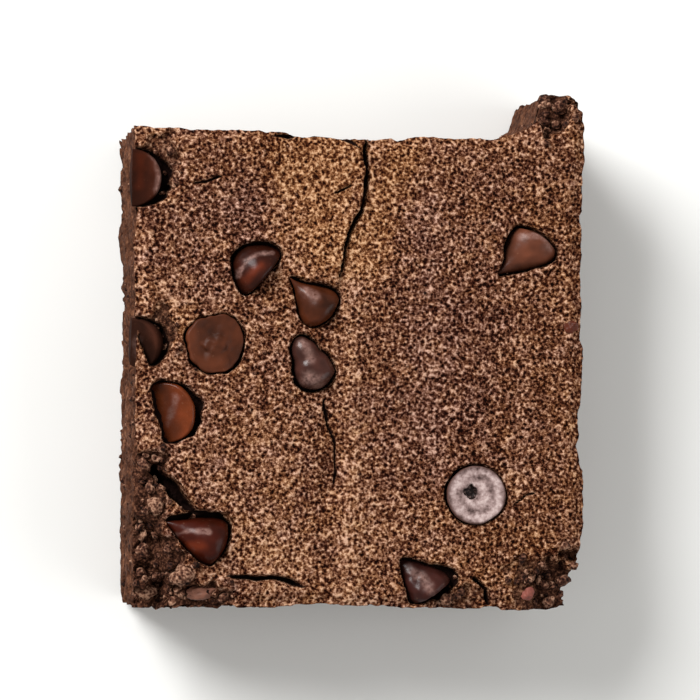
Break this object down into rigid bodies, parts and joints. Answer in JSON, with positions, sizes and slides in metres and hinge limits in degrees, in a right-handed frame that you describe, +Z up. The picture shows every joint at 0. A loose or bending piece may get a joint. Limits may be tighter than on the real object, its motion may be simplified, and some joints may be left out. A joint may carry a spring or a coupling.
{
  "type": "chocolate chip brownie",
  "caption": "Thick square-cut chocolate brownie with a thin cracked crust, crumbly cut sides, one long torn corner and chocolate chips set into the top.",
  "frame": {"origin": "centre of the bounding box in plan, on the face that the brownie rests on", "axes": "+Z up through the crust, +Y towards the far cut face with the long torn corner, +X to the right seen from above"},
  "size_m": [0.0746, 0.085, 0.0273],
  "materials": {
    "crumb": "matte open cake crumb, moist and dark",
    "crust": "matte papery baked crust with a fine grain",
    "chocolate": "satin dark chocolate, softened by baking",
    "bloomed_chocolate": "dull pale bloom over chocolate"
  },
  "bodies": {
    "root": {"brownie": "crumb", "chip_cut_far_left": "chocolate", "chip_half_moon": "chocolate", "chip_teardrop": "chocolate", "chip_bean": "chocolate", "chip_flat_base": "chocolate", "chip_cut_mid_left": "chocolate", "chip_tilted": "chocolate", "chip_lens": "chocolate", "chip_fan": "chocolate", "chip_bloomed": "bloomed_chocolate", "chip_broken": "chocolate", "chip_sliver": "chocolate", "chip_bit_corner": "chocolate", "chip_bit_right": "chocolate"}
  },
  "joints": []
}
